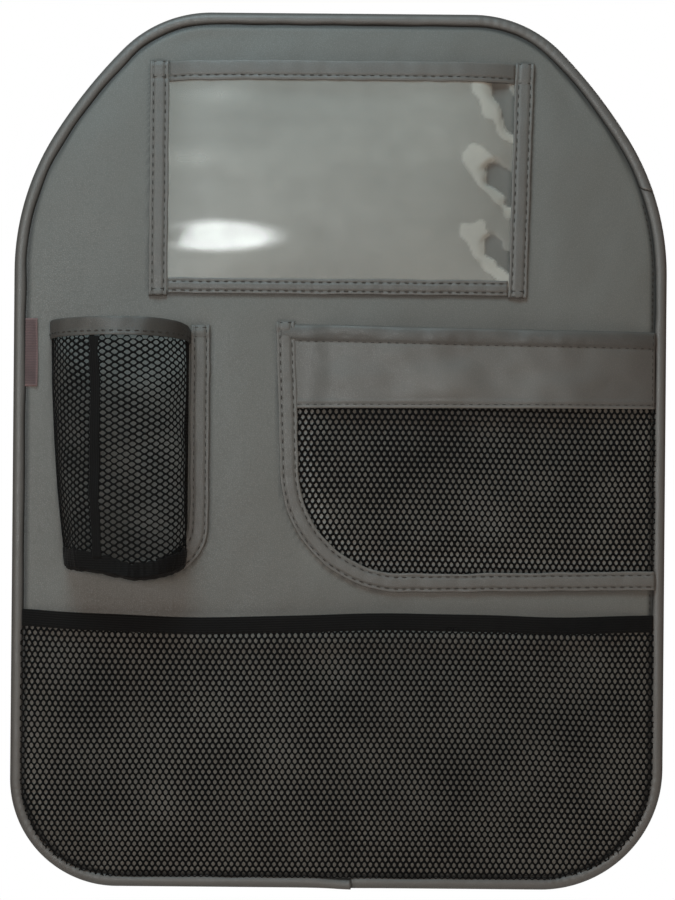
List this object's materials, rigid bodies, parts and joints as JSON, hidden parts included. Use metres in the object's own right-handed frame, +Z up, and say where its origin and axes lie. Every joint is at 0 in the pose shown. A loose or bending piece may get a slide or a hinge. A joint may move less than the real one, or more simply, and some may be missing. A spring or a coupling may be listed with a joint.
{
  "type": "car seat back organizer",
  "caption": "Padded leatherette panel for the back of a car seat, with a clear tablet pocket, a netted bottle pocket, a side pocket and a full-width net pocket.",
  "frame": {"origin": "centre of the panel's back face, which lies against the seat back", "axes": "+Z up along the panel, +Y out of the back face towards the seat, so the pockets face -Y; +X to the right as seen from the front"},
  "size_m": [0.45, 0.0601, 0.603],
  "materials": {
    "leatherette": "fine-grained satin leatherette, greenish grey",
    "binding_leatherette": "fine-grained satin leatherette",
    "clear_pvc": "clear soft PVC sheet, slightly hazed",
    "net": "black knitted hexagonal net",
    "elastic": "black woven elastic tape",
    "lining": "dark brushed nonwoven lining",
    "foam": "closed-cell foam sheet",
    "tag": "thin woven tag, blank"
  },
  "bodies": {
    "root": {"front_cover": "leatherette", "foam_core": "foam", "back_lining": "lining", "edge_binding_right": "binding_leatherette", "edge_binding_left": "binding_leatherette", "window_sheet": "clear_pvc", "window_top_hem": "leatherette", "window_foot_strip": "leatherette", "window_left_strip": "leatherette", "window_right_strip": "leatherette", "bottle_net": "net", "bottle_top_band": "leatherette", "bottle_side_strip": "leatherette", "bottle_seam_tape": "elastic", "bottle_base": "net", "bottle_base_tape": "elastic", "side_pocket_panel": "leatherette", "side_pocket_net": "net", "side_pocket_strip": "leatherette", "lower_net": "net", "lower_elastic": "elastic", "seam_tag": "tag", "headrest_strap": "elastic", "seat_strap": "elastic"}
  },
  "joints": []
}
